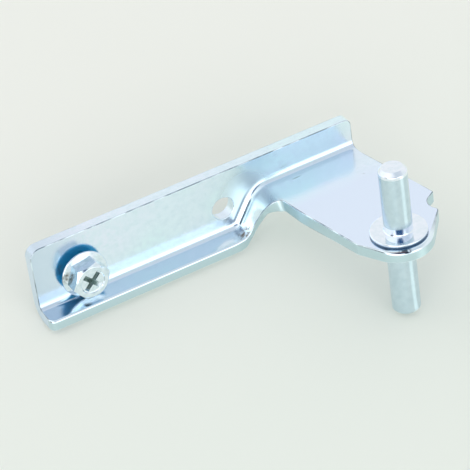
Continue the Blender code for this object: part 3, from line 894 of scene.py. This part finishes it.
# Bright zinc plating on cold-headed steel: whiter than the plate, smooth from the die, with
# small dents in the head from tumbling in the plating barrel.
zinc_screw = bpy.data.materials.new("bright_zinc_plated_screw_steel")
zinc_screw.use_nodes = True
tree = zinc_screw.node_tree
metal = tree.nodes["Principled BSDF"]
place = add(tree, "ShaderNodeTexCoord", out="Object")
mottle = add(tree, "ShaderNodeTexNoise", {"Vector": place, "Scale": patches(0.6), "Detail": 3.0})
speckle = add(tree, "ShaderNodeMapRange", {"Value": mottle, "From Min": 0.35, "From Max": 0.70})
film = add(tree, "ShaderNodeMix", {
    "Factor": speckle, 6: srgb("#e8f3fb"), 7: srgb("#d3e4ec"),
}, out=2, data_type="RGBA")

# Under the washer face the film is painted a deep blue and made less metallic: a painted stand-in
# for the blue shade bouncing in the gap between washer and plate
facing = add(tree, "ShaderNodeNewGeometry", out="Normal")
facing_y = add(tree, "ShaderNodeSeparateXYZ", {0: facing}, "Y")
gap_blue_shade = add(tree, "ShaderNodeMapRange", {"Value": facing_y, "From Min": 0.3, "From Max": 0.8})
depth = add(tree, "ShaderNodeSeparateXYZ", {0: place}, "Z")
on_head = add(tree, "ShaderNodeMath", {0: depth, 1: -0.0002}, operation="GREATER_THAN")
gap_blue_shade = add(tree, "ShaderNodeMath", {0: gap_blue_shade, 1: on_head}, operation="MULTIPLY")
film = add(tree, "ShaderNodeMix", {
    "Factor": gap_blue_shade, 6: film, 7: srgb("#34b4dc"),
}, out=2, data_type="RGBA")

# The side that faces left is painted darker, a painted shade, and by the washer face there lies a
# speckled brown patch
facing_x = add(tree, "ShaderNodeSeparateXYZ", {0: facing}, "X")
side = add(tree, "ShaderNodeMapRange", {"Value": facing_x, "From Min": -0.70, "From Max": -0.88})
film = add(tree, "ShaderNodeMix", {
    "Factor": side, 6: film, 7: srgb("#8ba2ae"),
}, out=2, data_type="RGBA")
BROWN_PATCH_PLACE = (-0.0055, 0.0014, 0.0013)
brown_patch_far = add(tree, "ShaderNodeVectorMath", {
    0: place, 1: BROWN_PATCH_PLACE,
}, "Value", operation="DISTANCE")
brown_patch = add(tree, "ShaderNodeMapRange", {
    "Value": brown_patch_far, "From Min": 0.0024, "From Max": 0.0010,
})
brown_patch = add(tree, "ShaderNodeMath", {0: brown_patch, 1: speckle}, operation="MULTIPLY")
film = add(tree, "ShaderNodeMix", {
    "Factor": brown_patch, 6: film, 7: srgb("#6b6460"),
}, out=2, data_type="RGBA")

# Down in the cross recess the film is painted darker the deeper it goes, a painted shade, and it
# is made dull
radius = add(tree, "ShaderNodeVectorMath", {0: place, 1: (1, 1, 0)}, operation="MULTIPLY")
radius = add(tree, "ShaderNodeVectorMath", {0: radius}, "Value", operation="LENGTH")
inside = add(tree, "ShaderNodeMath", {0: radius, 1: 0.0036}, operation="LESS_THAN")
in_head = add(tree, "ShaderNodeMath", {0: depth, 1: 0.0016}, operation="GREATER_THAN")
inside = add(tree, "ShaderNodeMath", {0: inside, 1: in_head}, operation="MULTIPLY")
recess_shade = add(tree, "ShaderNodeMapRange", {
    "Value": depth, "From Min": HEAD_HEIGHT - 0.0006, "From Max": HEAD_HEIGHT - 0.0016,
})
recess_shade = add(tree, "ShaderNodeMath", {0: recess_shade, 1: inside}, operation="MULTIPLY")
film = add(tree, "ShaderNodeMix", {
    "Factor": recess_shade, 6: film, 7: srgb("#8fa6a2"),
}, out=2, data_type="RGBA")
tree.links.new(film, metal.inputs["Base Color"])

# The painted blue under the washer face and the painted shade in the recess are dull, and the rest
# is bright metal
matt = add(tree, "ShaderNodeMath", {0: gap_blue_shade, 1: recess_shade}, operation="MAXIMUM")
shine = add(tree, "ShaderNodeMapRange", {"Value": matt, "To Min": 1.0, "To Max": 0.3})
tree.links.new(shine, metal.inputs["Metallic"])
soft = add(tree, "ShaderNodeMath", {0: mottle, 1: 0.12, 2: 0.08}, operation="MULTIPLY_ADD")
tree.links.new(soft, metal.inputs["Roughness"])
relief = add(tree, "ShaderNodeBump", {"Height": mottle, "Strength": 0.2, "Distance": 0.00005})
tree.links.new(relief, metal.inputs["Normal"])

for piece in (screw, shank):
    piece.data.materials.clear()
    piece.data.materials.append(zinc_screw)
    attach(piece, "root")
    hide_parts("flange_screw")


# Table
#
# A wide sheet of matt white card under the hinge, which lies on its fold and its pin's end.

# The card's way up, its height along that from the part's origin, and half its width
TABLE_UP = Vector((-0.001, -0.286, 0.958)).normalized()
TABLE_HEIGHT = -0.00937
TABLE_REACH = 0.36
CARD_FAR, CARD_NEAR, CARD_GLOW = "#dfdfd7", "#d9ddd4", "#eaeee9"
# The card glows faintly, more so to the metal that mirrors it, and most in a painted strip of
# light that only mirrored rays see: in a line with the pin, the way that STRIP_WAY points from it
CARD_SHARE, CARD_SHEEN, CARD_PAINTED_STRIP = 0.15, 0.10, 0.55
STRIP_WAY = (0.633, -0.774, 0)

table_shape = bmesh.new()
bmesh.ops.create_grid(table_shape, x_segments=1, y_segments=1, size=TABLE_REACH)
table = new_piece("table", table_shape)
table_turn = TABLE_UP.to_track_quat("Z", "Y").to_matrix().to_4x4()
table.matrix_world = Matrix.Translation(TABLE_UP * TABLE_HEIGHT) @ table_turn

card = bpy.data.materials.new("matt_white_card")
card.use_nodes = True
tree = card.node_tree
paper = tree.nodes["Principled BSDF"]
# The card is painted a little darker and greener towards the near side: a painted fall-off of the
# tent's light
ground = add(tree, "ShaderNodeNewGeometry", out="Position")
ground = add(tree, "ShaderNodeSeparateXYZ", {0: ground}, "Y")
ground = add(tree, "ShaderNodeMapRange", {"Value": ground, "From Min": -0.06, "From Max": 0.06})
shade = add(tree, "ShaderNodeMix", {
    "Factor": ground, 6: srgb(CARD_NEAR), 7: srgb(CARD_FAR),
}, out=2, data_type="RGBA")
tree.links.new(shade, paper.inputs["Base Color"])
paper.inputs["Roughness"].default_value = 0.9
paper.inputs["Specular IOR Level"].default_value = 0.0
paper.inputs["Emission Color"].default_value = srgb(CARD_GLOW)
# Mirrored rays see the card brighter, and brightest in the painted strip of light
mirrored = add(tree, "ShaderNodeLightPath", out="Is Glossy Ray")
from_pin = add(tree, "ShaderNodeNewGeometry", out="Position")
from_pin = add(tree, "ShaderNodeVectorMath", {
    0: from_pin, 1: (PIN_X, PIN_Y, 0),
}, operation="SUBTRACT")
from_pin = add(tree, "ShaderNodeVectorMath", {0: from_pin, 1: (1, 1, 0)}, operation="MULTIPLY")
from_pin = add(tree, "ShaderNodeVectorMath", {0: from_pin}, operation="NORMALIZE")
strip = add(tree, "ShaderNodeVectorMath", {
    0: from_pin, 1: STRIP_WAY,
}, "Value", operation="DOT_PRODUCT")
strip = add(tree, "ShaderNodeMapRange", {
    "Value": strip, "From Min": 0.955, "From Max": 0.985,
    "To Min": CARD_SHEEN, "To Max": CARD_PAINTED_STRIP,
})
sheen = add(tree, "ShaderNodeMath", {
    0: mirrored, 1: strip, 2: CARD_SHARE,
}, operation="MULTIPLY_ADD")
tree.links.new(sheen, paper.inputs["Emission Strength"])
table.data.materials.append(card)


# Light tent and camera
#
# A white tent lit from outside, brightest low down at the front and the left front. It is dark
# in the slot that the camera looks through, and in a narrow gap at the left.

# The camera's place and turn, as matrix rows, and its focal length on a 36 mm frame
CAMERA_PLACE = (
    (0.8637016, 0.3700402, -0.3421838, -0.2538765),
    (-0.4897541, 0.4559035, -0.7431641, -0.6090081),
    (-0.1189978, 0.8094580, 0.5749933, 0.4582449),
    (0.0, 0.0, 0.0, 1.0),
)
FOCAL_LENGTH = 221.7328

tent = bpy.data.worlds.new("light_tent")
bpy.context.scene.world = tent
tent.use_nodes = True
tree = tent.node_tree
way = add(tree, "ShaderNodeTexCoord", out="Generated")

# Parts of the tent: the middle of each, the cosines of its outer and inner edge, its colour
# and its level. The last is the gap, which the rolled rims mirror.
TENT_PARTS = (
    ((0.05, -0.20, 0.97), 0.60, 0.95, "#eef6ff", 0.85),
    ((-0.85, 0.05, 0.50), 0.40, 0.90, "#ffffff", 1.15),
    ((0.34, -0.50, 0.79), 0.85, 0.97, "#f0f7ff", 0.80),
    ((0.26, -0.95, 0.15), 0.89, 0.98, "#ffffff", 1.8),
    ((-0.65, -0.74, 0.09), 0.80, 0.92, "#ffffff", 2.3),
    ((-0.95, -0.12, 0.27), 0.96, 0.985, "#2c4254", 1.0),
)
glow = srgb("#f8f9f9")
for middle, outer, inner, colour, level in TENT_PARTS:
    aim = Vector(middle).normalized()
    turned_to = add(tree, "ShaderNodeVectorMath", {
        0: way, 1: aim,
    }, "Value", operation="DOT_PRODUCT")
    share = add(tree, "ShaderNodeMapRange", {
        "Value": turned_to, "From Min": outer, "From Max": inner,
    })
    light = [part * level for part in srgb(colour)]
    glow = add(tree, "ShaderNodeMix", {"Factor": share, 6: glow, 7: light}, 2, data_type="RGBA")

# The slot: how far a way lies from its middle is counted in halves of its width and height
ahead = Vector((-0.342, -0.743, 0.575)).normalized()
aside = Vector((0.908, -0.418, 0.0)).normalized()
over = aside.cross(ahead)
SLOT_HALF_WIDTH, SLOT_HALF_HEIGHT = sin(radians(33)), sin(radians(12))
off_aside = add(tree, "ShaderNodeVectorMath", {
    0: way, 1: aside / SLOT_HALF_WIDTH,
}, "Value", operation="DOT_PRODUCT")
off_over = add(tree, "ShaderNodeVectorMath", {
    0: way, 1: over / SLOT_HALF_HEIGHT,
}, "Value", operation="DOT_PRODUCT")
off_slot = add(tree, "ShaderNodeCombineXYZ", {"X": off_aside, "Y": off_over})
off_slot = add(tree, "ShaderNodeVectorMath", {0: off_slot}, "Value", operation="LENGTH")
dark = add(tree, "ShaderNodeMapRange", {"Value": off_slot, "From Min": 1.0, "From Max": 0.60})
in_front = add(tree, "ShaderNodeVectorMath", {0: way, 1: ahead}, "Value", operation="DOT_PRODUCT")
in_front = add(tree, "ShaderNodeMath", {0: in_front, 1: 0.0}, operation="GREATER_THAN")
dark = add(tree, "ShaderNodeMath", {0: dark, 1: in_front}, operation="MULTIPLY")
glow = add(tree, "ShaderNodeMix", {
    "Factor": dark, 6: glow, 7: srgb("#1f4f7d"),
}, 2, data_type="RGBA")

# The eye sees the table run on into the tent without a join
to_eye = add(tree, "ShaderNodeLightPath", out="Is Camera Ray")
glow = add(tree, "ShaderNodeMix", {
    "Factor": to_eye, 6: glow, 7: srgb("#ecefea"),
}, 2, data_type="RGBA")
tree.links.new(glow, tree.nodes["Background"].inputs["Color"])
tree.nodes["Background"].inputs["Strength"].default_value = 1.0

lens = bpy.data.cameras.new("camera")
lens.lens = FOCAL_LENGTH
lens.sensor_width = 36.0
lens.clip_start = 0.01
camera = bpy.data.objects.new("camera", lens)
bpy.context.scene.collection.objects.link(camera)
camera.matrix_world = Matrix(CAMERA_PLACE)
bpy.context.scene.camera = camera
bpy.context.scene.view_settings.view_transform = "Standard"
